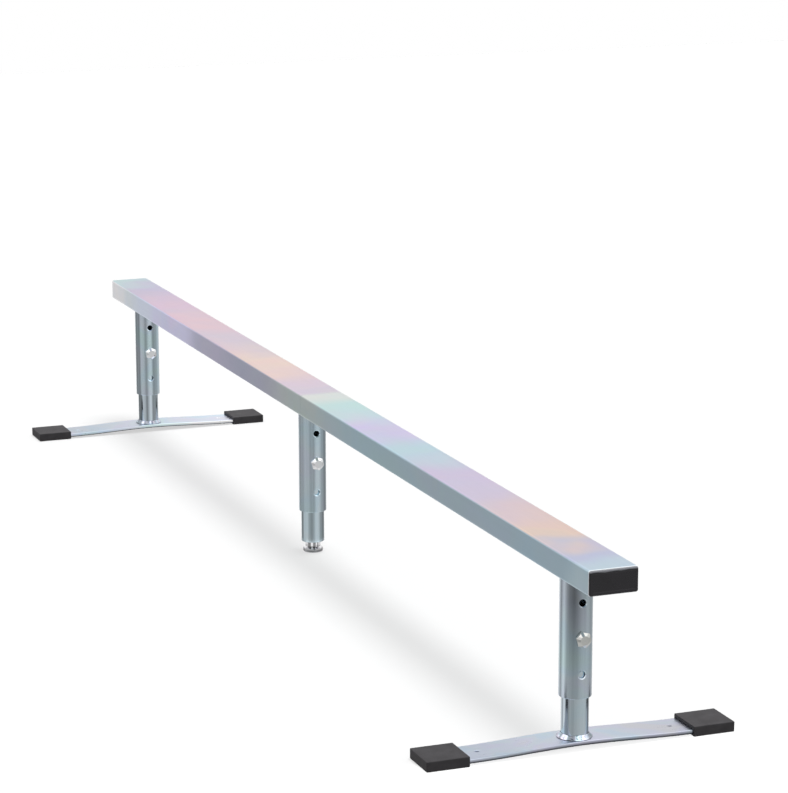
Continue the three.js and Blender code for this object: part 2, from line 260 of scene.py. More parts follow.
def film_group():
    """The film that zinc plating carries, as a shader group: slow patches of passivation tint,
    fine drawn lines and a matt and bright mottle."""
    group = bpy.data.node_groups.new("zinc film", "ShaderNodeTree")
    for direction, sockets in (("INPUT", film_inputs), ("OUTPUT", film_outputs)):
        for name, kind in sockets.items():
            group.interface.new_socket(name, in_out=direction, socket_type="NodeSocket" + kind)
    given = group.nodes.new("NodeGroupInput").outputs
    place = coordinates(group)
    patches = noise(group, place, given["Patches per metre"], detail=2.5, distortion=0.6)
    tinted = mixed(group, "MULTIPLY", given["Tint"], given["Metal"], ramp(group, patches, film_tints))
    spread = add_node(group, "VectorMath", {0: place, 1: given["Lines per metre"]}, operation="MULTIPLY")
    lines = noise(group, spread.outputs["Vector"], 1.0, detail=4.0)
    both = maths(group, "ADD", lines, noise(group, place, mottle_per_metre, detail=5.0))
    centred = maths(group, "SUBTRACT", both, 1.0)
    shade = spanned(group, "LINEAR", lines, 0.0, 1.0, *line_shades)
    feed(group, group.nodes.new("NodeGroupOutput"), {
        "Color": mixed(group, "MULTIPLY", 1.0, tinted, shade),
        "Roughness": maths(group, "MULTIPLY_ADD", centred, given["Unevenness"], given["Roughness"]),
        "Height": both,
    })
    return group


def plated_metal(name, metal, tint, patches_per_metre, lines_per_metre, roughness, unevenness, relief):
    """Zinc-plated steel: a metal shader whose colour, roughness and relief come from the film."""
    material, tree, shader = new_material(name)
    film = add_node(tree, "Group", node_tree=zinc_film, name="film")
    given = ((*metal, 1.0), tint, patches_per_metre, lines_per_metre, roughness, unevenness)
    feed(tree, film, zip(film_inputs, given))
    bump = {"Strength": plating_bump, "Distance": relief, "Height": film.outputs["Height"]}
    feed(tree, shader, {
        "Metallic": 1.0, "Base Color": film.outputs["Color"], "Roughness": film.outputs["Roughness"],
        "Normal": add_node(tree, "Bump", bump).outputs["Normal"],
    })
    return material


zinc_film = film_group()
beam_zinc = plated_metal(
    "beam zinc", metal=(0.66, 0.72, 0.75), tint=0.35, patches_per_metre=7.0,
    lines_per_metre=(6.0, 700.0, 700.0), roughness=0.34, unevenness=0.10, relief=0.00003,
)
# Along the beam the film runs through its tints from the far end (0) to the near end (1)
top_tints = [
    (0.00, (0.50, 0.68, 0.66)), (0.05, (0.54, 0.50, 0.66)), (0.13, (0.68, 0.52, 0.64)),
    (0.22, (0.76, 0.54, 0.60)), (0.29, (0.68, 0.56, 0.64)), (0.38, (0.82, 0.64, 0.56)),
    (0.495, (0.68, 0.58, 0.68)), (0.505, (0.72, 0.74, 0.70)), (0.55, (0.54, 0.74, 0.72)),
    (0.62, (0.64, 0.56, 0.78)), (0.68, (0.50, 0.66, 0.72)), (0.78, (0.60, 0.54, 0.70)),
    (0.92, (0.76, 0.58, 0.48)), (0.96, (0.50, 0.52, 0.68)), (1.00, (0.52, 0.62, 0.70)),
]
# The sides' ramp is the film's tint with painted shade and painted reflection: mostly darker than the top,
# bright at the far end
side_tints_and_painted_shade = [
    (0.00, (0.98, 1.00, 0.98)), (0.04, (0.78, 0.88, 0.94)), (0.08, (0.74, 0.84, 1.00)),
    (0.19, (0.76, 0.72, 0.94)), (0.28, (0.52, 0.50, 0.64)), (0.37, (0.42, 0.44, 0.56)),
    (0.50, (0.50, 0.56, 0.54)), (0.60, (0.40, 0.54, 0.60)), (0.75, (0.42, 0.54, 0.60)),
    (0.94, (0.44, 0.58, 0.66)), (1.00, (0.54, 0.68, 0.74)),
]
tint_drift_per_metre = 9.0
tint_drift = 0.2
drift_from_seam = 0.12
side_to_top = (0.45, 0.8)
# The outer ends' edges: bare steel with a painted highlight, near white
bare_highlight_edge = 0.6
bare_highlight_colour = (0.95, 0.96, 0.97, 1)


def tint_along_beam(material):
    """Feeds the film's metal colour from two ramps along X, one for the top and one for the
    sides, whose ramp holds painted shade and painted reflection. A slow noise shifts their
    places so that the tints meet on uneven lines, but not at the seam, where each half has its
    own tint up to its end. The outer ends' deburred edges are bare, with a painted highlight."""
    tree = material.node_tree
    place = coordinates(tree)
    x = axes(tree, place)["X"]
    centred = maths(tree, "SUBTRACT", noise(tree, place, tint_drift_per_metre), 0.5)
    from_seam = maths(tree, "ABSOLUTE", x)
    reach = spanned(tree, "SMOOTHSTEP", from_seam, 0.0, drift_from_seam, 0.0, tint_drift)
    half_length = beam_length / 2 * MM
    shifted = maths(tree, "MULTIPLY_ADD", centred, reach, x)
    share = spanned(tree, "LINEAR", shifted, -half_length, half_length)
    sides, top = (ramp(tree, share, stops, "EASE") for stops in (side_tints_and_painted_shade, top_tints))
    upward = spanned(tree, "LINEAR", axes(tree, coordinates(tree, "Normal"))["Z"], *side_to_top)
    # Painted highlight: the ends' deburred edges go near white
    bare_highlight_share = spanned(tree, "LINEAR", from_seam, (beam_end - bare_highlight_edge) * MM, (beam_end - bare_highlight_edge / 2) * MM)
    colour = mixed(tree, "MIX", bare_highlight_share, mixed(tree, "MIX", upward, sides, top), bare_highlight_colour)
    feed(tree, tree.nodes["film"], {"Metal": colour})


tint_along_beam(beam_zinc)
beam_tube_near = make_piece("beam_tube_near", box_tube(half_seam, beam_end, seam_lip, end_lip), beam_zinc)
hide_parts("beam_half_near")
beam_tube_far = make_piece("beam_tube_far", box_tube(-beam_end, -half_seam, end_lip, seam_lip), beam_zinc)
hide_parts("beam_half_far")
for piece in (beam_tube_near, beam_tube_far):
    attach(piece, "rail")

# End plugs
# Black moulded plastic plugs, pushed into the beam's ends: a flange over the whole end with a
# soft round edge and a shallow sunk panel, and a hollow ribbed spigot that grips the tube.
plug_inset = 0.5
plug_width = beam_width - 2 * plug_inset
plug_height = beam_height - 2 * plug_inset
plug_corner = 2.5
plug_edge = 1.5
plug_panel_border = 4.0
plug_panel_depth = 0.35
spigot_inset = 1.8
spigot_wall = 2.0
spigot_depth = 16.0
rib_height = 0.2
rib_places = (-5.0, -9.0, -13.0)
rib_slopes = (0.6, 0.3)
# A painted highlight along the plug's upper round edge: its colour, depths under the top, sway and waves
painted_highlight_colour = (0.30, 0.31, 0.34, 1)
painted_highlight_depths = (2.8, 1.6)
painted_highlight_sway = 2.0
painted_highlight_waves_per_metre = 90.0
mould_mottle_per_metre = 60.0
mould_shade_places = (0.35, 0.7)
mould_bump = 0.5
mould_roughness_span = (-0.06, 0.08)


def end_plug(side):
    """A plug as one stack of rectangular rings: from the middle of its face, over the round
    edge, along the spigot with its ribs, round its mouth and back to the flange inside it."""
    middle = plug_height / 2
    turn = np.linspace(math.pi / 2, 0, 6)
    back_edge, panel_slope, support = 0.25, 0.4, 0.5
    outer, inner = plug_panel_border - panel_slope, plug_panel_border + panel_slope
    stations = [(-plug_panel_depth, middle), (-plug_panel_depth, inner + support), (-plug_panel_depth, inner),
                (0, outer), (0, outer - support), (0, plug_edge + support)]
    stations += [(plug_edge * (math.sin(angle) - 1), plug_edge * (1 - math.cos(angle))) for angle in turn]
    stations += [(back_edge - plug_flange, 0), (-plug_flange, back_edge), (-plug_flange, spigot_inset)]
    for rib in rib_places:
        stations += [(rib + rib_slopes[0], spigot_inset), (rib, spigot_inset - rib_height),
                     (rib - rib_slopes[1], spigot_inset)]
    mouth = -plug_flange - spigot_depth
    bore = spigot_inset + spigot_wall
    lead_in, edge = 0.4, 0.2
    stations += [(mouth + lead_in, spigot_inset), (mouth, spigot_inset + lead_in), (mouth, bore - edge),
                 (mouth + edge, bore), (-plug_flange - edge, bore), (-plug_flange, bore + edge),
                 (-plug_flange, middle)]
    along, inset = np.array(stations).T
    corner = np.clip(plug_corner - inset, 0.0, None)
    across, upward = rectangle_rings(plug_width - 2 * inset, plug_height - 2 * inset, corner)
    along = np.broadcast_to(side * (beam_length / 2 + along)[:, None], across.shape)
    return np.stack([along, across, upward + beam_middle_height], -1)


def moulded(name, colour, pale, roughness, grain_per_metre, relief, specular):
    """A moulded plastic or rubber: a fine grain for relief, a slow mottle between two close
    shades, and a roughness that follows the grain."""
    material, tree, shader = new_material(name)
    place = coordinates(tree)
    mottle = noise(tree, place, mould_mottle_per_metre, detail=6.0)
    grain = noise(tree, place, grain_per_metre, detail=3.0)
    bump = add_node(tree, "Bump", {"Strength": mould_bump, "Distance": relief, "Height": grain})
    low, high = (roughness + change for change in mould_roughness_span)
    feed(tree, shader, {
        "Specular IOR Level": specular,
        "Base Color": ramp(tree, mottle, list(zip(mould_shade_places, (colour, pale)))),
        "Roughness": spanned(tree, "LINEAR", grain, 0.0, 1.0, low, high),
        "Normal": bump.outputs["Normal"],
    })
    return material


def paint_edge_highlight(material, pale, from_height, to_height, sway):
    """Paints a highlight on a moulding between two heights, along a plug's upper edge. Noise
    moves the line up and down by at most half the sway."""
    tree = material.node_tree
    place = coordinates(tree)
    wander = noise(tree, place, painted_highlight_waves_per_metre)
    height = maths(tree, "MULTIPLY_ADD", wander, sway * MM, axes(tree, place)["Z"])
    low, high = (from_height + sway / 2) * MM, (to_height + sway / 2) * MM
    highlight_share = spanned(tree, "SMOOTHSTEP", height, low, high)
    shader = tree.nodes["Principled BSDF"]
    plain = shader.inputs["Base Color"].links[0].from_socket
    feed(tree, shader, {"Base Color": mixed(tree, "MIX", highlight_share, plain, pale)})


plug_plastic = moulded(
    "plug plastic", colour=(0.006, 0.005, 0.008), pale=(0.011, 0.009, 0.014), roughness=0.27,
    grain_per_metre=900.0, relief=0.00005, specular=0.5,
)
plug_top = beam_middle_height + plug_height / 2
# A painted highlight along the plugs' upper edge
paint_edge_highlight(plug_plastic, painted_highlight_colour, *(plug_top - depth for depth in painted_highlight_depths), painted_highlight_sway)
for name, side in (("near", 1), ("far", -1)):
    plug = make_piece(f"plug_{name}", end_plug(side), plug_plastic, sharp_degrees=50)
    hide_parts(f"end_plug_{name}")
    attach(plug, "rail")

# Joint sleeve, with its screws and nuts
# A shorter tube inside the beam across the seam, held from below by four button-head screws
# with hex sockets, each in a nut inside the sleeve. The sleeve and nuts are never seen.
tube_finish = {
    "metal": (0.575, 0.675, 0.715), "tint": 0.5, "patches_per_metre": 16.0,
    "lines_per_metre": (900.0, 900.0, 5.0), "roughness": 0.22, "unevenness": 0.08, "relief": 0.00002,
}
bright_finish = {
    "metal": (0.86, 0.87, 0.88), "tint": 0.15, "patches_per_metre": 60.0,
    "lines_per_metre": (500.0, 500.0, 500.0), "roughness": 0.08, "unevenness": 0.04, "relief": 0.00001,
}
bright_zinc = plated_metal("bright zinc", **bright_finish)
fastener_zinc = plated_metal("fastener zinc", **{**bright_finish, "metal": (0.62, 0.62, 0.59)})
screw_places = (-114.75, -81.0, 81.0, 114.75)
screw_seat = beam_underside - fit_gap
screw_head_radius = 5.25
screw_head_height = 3.3
screw_shank_radius = 3.0
screw_reach = 9.9
screw_key_across = 4.0
screw_key_depth = 2.0
hex_steps = (-30.0, -25.0, -20.0, -15.0, -10.0, -5.0, -3.0, -1.5, 0.0, 1.5, 3.0, 5.0, 10.0, 15.0, 20.0, 25.0)
hex_angles = np.radians([60.0 * corner + step for corner in range(6) for step in hex_steps])


def hexagon(across, corner_radius, angles=hex_angles):
    """The radius of a hexagon with rounded corners by angle, with a corner at zero. Between the
    corners it is half the width over flats divided by the cosine of the angle to the flat's
    middle, and at a corner the far point of a small circle that touches both flats."""
    sector = math.pi / 3
    from_corner = np.abs((angles + sector / 2) % sector - sector / 2)
    flat = across / 2
    middle = (flat - corner_radius) / math.cos(sector / 2)
    touch = math.atan2(corner_radius * math.sin(sector / 2), middle + corner_radius * math.cos(sector / 2))
    straight = flat / np.cos(sector / 2 - from_corner)
    inside = np.maximum(corner_radius ** 2 - (middle * np.sin(from_corner)) ** 2, 0)
    rounded = middle * np.cos(from_corner) + np.sqrt(inside)
    return np.where(from_corner < touch, rounded, straight)


def turned_rings(stations, angles=hex_angles):
    """Rings about the Z axis from (radius, height) stations, where either may also be an array
    by angle: x = radius cos angle, y = radius sin angle."""
    radius = np.stack([np.broadcast_to(station[0], angles.shape) for station in stations])
    height = np.stack([np.broadcast_to(station[1], angles.shape) for station in stations])
    return np.stack([radius * np.cos(angles), radius * np.sin(angles), height], -1)


def button_screw(place):
    """A button-head screw, head down: up the hexagonal socket from its floor, over the domed
    head to the seat, and along the shank to its tip."""
    edge, tip, dome_power, rim_share, key_draft = 0.15, 0.4, 0.8, 1.22, 0.02
    key = hexagon(screw_key_across, edge)
    key_floor = screw_key_depth - screw_head_height
    stations = [(0, key_floor), (key * (1 - key_draft), key_floor), (key, key_floor - 0.05),
                (key, -screw_head_height + 0.1), (key * (1 + key_draft), -screw_head_height),
                (screw_key_across / 2 * rim_share, -screw_head_height)]
    stations += [(screw_head_radius * math.sin(angle), -screw_head_height * math.cos(angle) ** dome_power)
                 for angle in np.radians([42, 50, 58, 66, 74, 82])]
    stations += [(screw_head_radius, -edge), (screw_head_radius - edge, 0), (screw_shank_radius, 0),
                 (screw_shank_radius, screw_reach - tip), (screw_shank_radius - tip, screw_reach),
                 (0, screw_reach)]
    return turned_rings(stations) + np.array([place, 0, screw_seat])


def refinish(node, material):
    """Gives a CAD node that stays its own material."""
    node.data.materials.clear()
    node.data.materials.append(material)


refinish(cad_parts["joint_sleeve"], plated_metal("sleeve zinc", **tube_finish))
for index, place in enumerate(screw_places, start=1):
    screw = make_piece(f"button_screw_{index}", button_screw(place), fastener_zinc)
    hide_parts(f"sleeve_screw_{index}")
    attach(screw, "rail")
    refinish(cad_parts[f"sleeve_nut_{index}"], fastener_zinc)

# Leg sockets
# Round 38 mm tubes hung square under the beam, each drilled through along the beam at three
# heights. The drill leaves a small countersunk edge, and the lower end is sawn and deburred.
leg_places = {"near": 842.0, "centre": -38.0, "far": -842.0}
socket_radius = 19.0
socket_bore_radius = 17.0
socket_length = 144.5
socket_low = beam_underside - socket_length
socket_high = beam_underside - fit_gap
hole_pitch = 42.0
top_hole_drop = 31.5
hole_heights = tuple(beam_underside - top_hole_drop - hole_pitch * row for row in (2, 1, 0))
bolt_height = hole_heights[1]
hole_radius = 4.2
hole_lip = 1.4
hole_lip_depth = 0.9
# Painted reflections: light and dark lines along each tube, by direction in degrees from
# +X towards +Y, as shares of the film's tint. The near socket's are darker towards its top, painted shade
# under the beam.
socket_painted_reflections = {
    "near": [(-100, 1.00), (-88, 1.10), (-69, 1.06), (-54, 0.88), (-30, 1.00), (-14, 0.84), (19, 1.14),
             (39, 0.92), (70, 1.00)],
    "centre": [(-100, 0.90), (-84, 0.84), (-66, 0.52), (-48, 1.10), (-36, 1.28), (-22, 1.12), (-14, 0.86),
               (-2, 1.18), (10, 1.28), (25, 0.90), (44, 0.50), (80, 1.00)],
    "far": [(-100, 0.80), (-80, 0.54), (-61, 0.35), (-46, 1.22), (-34, 1.35), (-22, 1.00), (-10, 1.32),
            (1, 1.25), (13, 0.72), (28, 0.88), (48, 1.30), (80, 1.00)],
}
socket_top_painted_shade = {
    "near": [(-100, 0.95), (-88, 0.90), (-69, 0.80), (-42, 0.44), (-30, 0.42), (-14, 0.52), (5, 0.70),
             (19, 1.00), (39, 0.76), (70, 1.00)],
}
painted_shade_from = 0.085
painted_shade_to = 0.175


def rim_lines(low, inside, high, back):
    """Grid lines from one rim to the other: the rim, its lip's places and those inside."""
    return np.concatenate([[low], low + back[::-1], inside, high - back, [high]])


def rim_sinks(inside, half_wall, sunk):
    """How deep each of those lines lies: at the rims it reaches mid-wall."""
    return np.concatenate([[half_wall], sunk[::-1], np.zeros(inside), sunk, [half_wall]])


def drilled_sheet(columns, rows, sinks, drills, place, across, column_at, lip, lip_depth, half_wall,
                  reach=8):
    """A sheet of quads over a grid of column and row lines, sunk by a depth at each crossing,
    with round holes. At each hole a square of quads is left out, and rings blend from the
    square's edge to the hole's circle, go down a countersunk lip and on to mid-wall. place turns
    columns, rows and depths into points, and across and column_at go from a column to its
    distance from a hole's middle and back."""
    blend = np.array([0.28, 0.52, 0.74, 0.90])[:, None]
    inward = np.array([0.0, 0.1, 0.5, 0.9, 1.0])
    downward = np.array([0.0, 0.05, 0.5, 0.93, 1.08])
    grid_column, grid_row = np.meshgrid(columns, rows, indexing="ij")
    sheets = [place(grid_column, grid_row, sinks).reshape(-1, 3)]
    number = np.arange(grid_column.size).reshape(grid_column.shape)
    quads = np.stack([number[:-1, :-1], number[1:, :-1], number[1:, 1:], number[:-1, 1:]], -1)
    kept = np.ones(quads.shape[:2], bool)
    count = number.size
    faces = []
    step = np.arange(-reach, reach)
    edge = np.full(2 * reach, reach)
    loop_column = np.concatenate([step, edge, -step, -edge])
    loop_row = np.concatenate([-edge, step, edge, -step])
    angle = np.linspace(0, 2 * math.pi, 8 * reach, endpoint=False) - 0.75 * math.pi
    for centre_column, centre_row, radius in drills:
        column = int(np.argmin(np.abs(columns - centre_column)))
        row = int(np.argmin(np.abs(rows - centre_row)))
        kept[column - reach:column + reach, row - reach:row + reach] = False
        outline = number[column + loop_column, row + loop_row]
        edge = np.stack([across(columns[column + loop_column], centre_column),
                         rows[row + loop_row] - centre_row])
        circle = np.stack([np.cos(angle), np.sin(angle)])[:, None]
        rim = np.append(radius + lip * (1 - inward), radius)[:, None]
        rim_depth = np.append(lip_depth * downward, half_wall)[:, None]
        blended = (1 - blend) * edge[:, None] + blend * (radius + lip) * circle
        ring_across, ring_up = np.concatenate([blended, rim * circle], axis=1)
        depth = np.concatenate([0 * blend, rim_depth]) + 0 * ring_up
        ring_column = column_at(ring_across, depth, centre_column)
        sheets.append(place(ring_column, centre_row + ring_up, depth).reshape(-1, 3))
        rings = np.vstack([outline, count + np.arange(ring_up.size).reshape(ring_up.shape)])
        beside = np.roll(rings, -1, axis=1)
        faces.append(np.stack([rings[:-1], beside[:-1], beside[1:], rings[1:]], -1).reshape(-1, 4))
        count += ring_up.size
    faces.append(quads[kept])
    return np.concatenate(sheets), np.concatenate(faces)


def join_sheets(sheets):
    """One mesh's points and quads from those of several sheets."""
    points, quads = zip(*sheets)
    starts = np.cumsum([0] + [len(part) for part in points[:-1]])
    return np.concatenate(points), np.concatenate([part + start for part, start in zip(quads, starts)])


def drilled_tube(centre, outer, inner, low, high, heights, drill_radius, lip, lip_depth, reach=8, cells=96):
    """An upright round tube with holes through it along X: an outer and an inner drilled sheet
    rolled about the axis, which meet at mid-wall in the holes and at the rims."""
    half_wall = (outer - inner) / 2
    back, sunk = lip_arc(lip_depth)
    columns = np.linspace(-0.5 * math.pi, 1.5 * math.pi, cells + 1)
    cell = outer * 2 * math.pi / cells
    near_holes = np.concatenate([height + cell * np.arange(-reach, reach + 1) for height in heights])
    rows, sinks = rim_lines(low, near_holes, high, back), rim_sinks(near_holes.size, half_wall, sunk)
    drills = [(angle, height, drill_radius) for angle in (0.0, math.pi) for height in heights]

    def rolled_sheet(face_radius, inward):
        """One face of the wall, with columns by angle and rows by height."""

        def place(angle, height, depth):
            """The point: x is the radius at that depth times cosine, y times sine."""
            radius = face_radius - inward * depth
            across, along = radius * np.sin(angle), radius * np.cos(angle)
            return np.stack([centre + along, across, height + 0 * radius], -1)

        def across(angle, middle):
            """The distance: the radius times the sine of the angle between them."""
            return face_radius * np.sin(angle - middle)

        def column_at(distance, depth, middle):
            """The angle back: the arcsine of distance over the radius at that depth."""
            return middle + np.arcsin(distance / (face_radius - inward * depth))

        return drilled_sheet(columns, rows, sinks, drills, place, across, column_at, lip, lip_depth,
                             half_wall, reach)

    return join_sheets([rolled_sheet(outer, 1), rolled_sheet(inner, -1)])


def shade_round(piece, centre, radii):
    """Sets the normals of a tube's round faces straight from its axis, or towards it in the
    bore, so that the rings round the drilled holes don't show in the reflections."""
    mesh = piece.data
    near = 0.01
    places = np.empty(len(mesh.vertices) * 3)
    normals = np.empty(len(mesh.vertices) * 3)
    mesh.vertices.foreach_get("co", places)
    mesh.vertices.foreach_get("normal", normals)
    places, normals = places.reshape(-1, 3) / MM, normals.reshape(-1, 3)
    radius = np.hypot(places[:, 0] - centre, places[:, 1])
    for wanted, sign in zip(radii, (1, -1)):
        on = np.abs(radius - wanted) < near
        normals[on, 0] = sign * (places[on, 0] - centre) / radius[on]
        normals[on, 1] = sign * places[on, 1] / radius[on]
        normals[on, 2] = 0
    mesh.normals_split_custom_set_from_vertices(normals)


def shade_film(material, *shades):
    """Multiplies the film's metal colour by each shade."""
    tree = material.node_tree
    colour = tuple(tree.nodes["film"].inputs["Metal"].default_value)
    for shade in shades:
        colour = mixed(tree, "MULTIPLY", 1.0, colour, shade)
    feed(tree, tree.nodes["film"], {"Metal": colour})


def compass_ramp(tree, x, y, stops, interpolation="LINEAR"):
    """A ramp over the direction of (x, y), with stops by degrees from +X towards +Y."""
    turned = spanned(tree, "LINEAR", maths(tree, "ARCTAN2", y, x), -math.pi, math.pi)
    return ramp(tree, turned, [((degrees + 180) / 360, shade) for degrees, shade in stops], interpolation)


def painted_reflection_streaks(material, centre, streaks, top_painted_shade=None):
    """Paints reflections into the film by a ramp of streaks round the tube's axis, which may
    blend to another ramp, with painted shade, towards the tube's top."""
    tree = material.node_tree
    at = axes(tree, coordinates(tree))
    along = maths(tree, "SUBTRACT", at["X"], centre * MM)
    shade = compass_ramp(tree, along, at["Y"], streaks, "EASE")
    if top_painted_shade:
        upper = spanned(tree, "LINEAR", at["Z"], painted_shade_from, painted_shade_to)
        shade = mixed(tree, "MIX", upper, shade, compass_ramp(tree, along, at["Y"], top_painted_shade, "EASE"))
    shade_film(material, shade)


for name, place in leg_places.items():
    tube_zinc = plated_metal(f"tube zinc {name}", **tube_finish)
    painted_reflection_streaks(tube_zinc, place, socket_painted_reflections[name], socket_top_painted_shade.get(name))
    points, faces = drilled_tube(place, socket_radius, socket_bore_radius, socket_low, socket_high,
                                 hole_heights, hole_radius, hole_lip, hole_lip_depth)
    socket = make_piece(f"socket_tube_{name}", points, tube_zinc, faces, sharp_degrees=180)
    shade_round(socket, place, (socket_radius, socket_bore_radius))
    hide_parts(f"leg_socket_{name}")
    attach(socket, "rail")

# Socket welds
# A small fillet weld round the top of each socket, under the beam, laid in short overlapping
# ripples and plated with the rest.
weld_finish = {
    "metal": (0.70, 0.75, 0.82), "tint": 0.9, "patches_per_metre": 140.0,
    "lines_per_metre": (300.0, 300.0, 300.0), "roughness": 0.12, "unevenness": 0.08, "relief": 0.00005,
}
weld_zinc = plated_metal("weld zinc", **weld_finish)
socket_weld_leg = 3.6
weld_around = 288
weld_across = 15
toe_waves = ((1.0, 3, 0.7), (0.7, 5, 2.1), (0.4, 8, 4.0))


def weld_fillet(centre, inner, seat, leg, rise, ripples, ripple, sway):
    """A fillet weld round a tube: its section runs from the seat's outer toe to the tube, hollow
    between, and closes along the seat and the tube. The face swells in crescents, which trail
    behind in the middle of the bead, and the toe wanders by slow waves."""
    most_hollow, most_trail, uneven, uneven_waves = 0.22, 0.10, 0.3, 4
    crescent_power, bead_power, swell_share, climb = 0.7, 0.6, 0.7, 0.12
    toe_inset, top_inset = 0.35, 0.5
    angles = np.linspace(0, 2 * math.pi, weld_around, endpoint=False)
    share = np.linspace(0, 1, weld_across)[:, None]
    bow = np.sin(math.pi * share)
    hollow = most_hollow * bow
    slow = sway / 2 * sum(size * np.sin(waves * angles + start) for size, waves, start in toe_waves)
    turned = angles + most_trail * bow
    crescent = np.abs(np.sin(ripples / 2 * turned + uneven * np.sin(uneven_waves * angles)))
    swell = ripple * crescent ** crescent_power * bow ** bead_power * swell_share
    out = (1 - share) * ((leg + slow) * (1 - hollow) - toe_inset) + swell
    lift = share * (1 - hollow) * (1 + climb * slow) * (abs(rise) - top_inset) + swell
    radius = np.concatenate([inner + out, np.full((1, angles.size), inner), inner + out[:1]])
    height = np.concatenate([lift, np.zeros((2, angles.size))])
    height[0] = 0
    height = seat + math.copysign(1, rise) * height
    return np.stack([centre + radius * np.cos(angles), radius * np.sin(angles), height], -1)


for name, place in leg_places.items():
    bead = weld_fillet(place, socket_radius + fit_gap, beam_underside - fit_gap, socket_weld_leg,
                       -socket_weld_leg, ripples=46, ripple=0.35, sway=0.25)
    weld = make_piece(f"top_weld_{name}", bead, weld_zinc)
    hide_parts(f"socket_weld_{name}")
    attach(weld, "rail")

# Inner leg tubes
# Round 32 mm tubes that slide in the sockets, with one cross hole that the height bolt goes
# through. They are drawn smoother than the sockets and carry sharper reflections.
leg_finish = {
    "metal": (0.60, 0.70, 0.74), "tint": 0.3, "patches_per_metre": 16.0,
    "lines_per_metre": (700.0, 700.0, 4.0), "roughness": 0.13, "unevenness": 0.06, "relief": 0.00001,
}
# Painted reflections round each leg tube: light and dark lines by direction, as on the sockets
leg_painted_reflections = {
    "near": [(-100, 1.00), (-88, 1.28), (-76, 1.30), (-66, 0.60), (-56, 0.52), (-42, 1.00), (-28, 1.20),
             (-8, 0.90), (18, 1.22), (30, 1.00), (39, 0.26), (60, 0.80), (80, 1.00)],
    "centre": [(-100, 0.70), (-84, 0.48), (-66, 0.72), (-48, 1.28), (-36, 1.04), (-20, 0.88), (-14, 0.95),
               (-2, 1.20), (10, 1.28), (25, 0.76), (44, 0.42), (80, 1.00)],
    "far": [(-100, 0.70), (-80, 0.35), (-61, 0.24), (-48, 1.25), (-34, 1.35), (-22, 0.80), (-10, 1.25),
            (1, 1.35), (13, 0.64), (28, 0.76), (48, 0.70), (80, 1.00)],
}
leg_radius = 16.0
leg_bore_radius = 14.0
leg_top_gap = 5.0
leg_high = beam_underside - leg_top_gap - hole_pitch
leg_hole_lip = 0.45
plate_foot_low = 11.6
screw_foot_low = 15.5
for name, place in leg_places.items():
    leg_zinc = plated_metal(f"leg zinc {name}", **leg_finish)
    painted_reflection_streaks(leg_zinc, place, leg_painted_reflections[name])
    low = screw_foot_low if name == "centre" else plate_foot_low
    points, faces = drilled_tube(place, leg_radius, leg_bore_radius, low, leg_high, (bolt_height,),
                                 hole_radius, leg_hole_lip, leg_hole_lip)
    inner_leg = make_piece(f"leg_tube_{name}", points, leg_zinc, faces, sharp_degrees=180)
    shade_round(inner_leg, place, (leg_radius, leg_bore_radius))
    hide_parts(f"inner_tube_{name}")
    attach(inner_leg, f"leg_{name}")

# Height bolts, washers and nuts
# A hex bolt, 17 mm across, through each leg's middle hole, head towards the near end, with a
# flat washer and a 13 mm nut behind. The head is forged, with a turned-down top and a washer face.
bolt_across = 17.0
bolt_radius = 4.0
bolt_root_radius = 3.25
bolt_pitch = 1.25
bolt_head_height = 6.4
bolt_length = 50.0
bolt_thread_start = 22.0
bolt_face_radius = 5.4
bolt_seat_radius = 7.9
bolt_chamfer_slope = 0.75
hex_corner = 0.5
washer_radius = 10.0
washer_thickness = 2.0
nut_across = 13.0
nut_height = 6.5
nut_face_radius = 5.6
nut_chamfer_slope = 0.577
# Each bolt was tightened to its own turn, in degrees from corners up and down
bolt_turns = {"near": 15.0, "centre": 14.0, "far": 8.0}


def thread_stations(root, crest, pitch, start, end, rows_per_turn=8):
    """Rings of a screw thread downwards from start to end: the radius follows a flat-topped
    wave of height over pitch minus angle over a turn. It fades in from the root and out to the
    crest at its ends."""
    middle, steepness, runout = 0.5, 0.8, 0.7
    stations = []
    for height in np.arange(start, end, -pitch / rows_per_turn):
        wave = middle + steepness * np.sin(2 * math.pi * height / pitch - hex_angles)
        fade = min(1.0, (start - height) / pitch, (height - end) / (runout * pitch))
        full = root + (crest - root) * np.clip(wave, 0, 1)
        plain = root if height < (start + end) / 2 else crest
        stations.append((full + (1 - fade) * (plain - full), height))
    return stations


def hex_top(across, face_radius, height, chamfer_slope):
    """The turned-down top of a hexagon: a flat round face, and a cone that meets the flats in
    hollow curves. The cone has dropped by its slope times how far the outline is past the face."""
    face_edge, face_sink, edge, edge_drop, support = 0.3, 0.03, 0.12, 0.16, 0.6
    outline = hexagon(across, hex_corner)
    drop = height - (outline - face_radius) * chamfer_slope
    return [(face_radius / 2, height), (face_radius - face_edge, height), (face_radius, height - face_sink),
            (outline - edge, drop), (outline, drop - edge_drop), (outline, drop - support)]


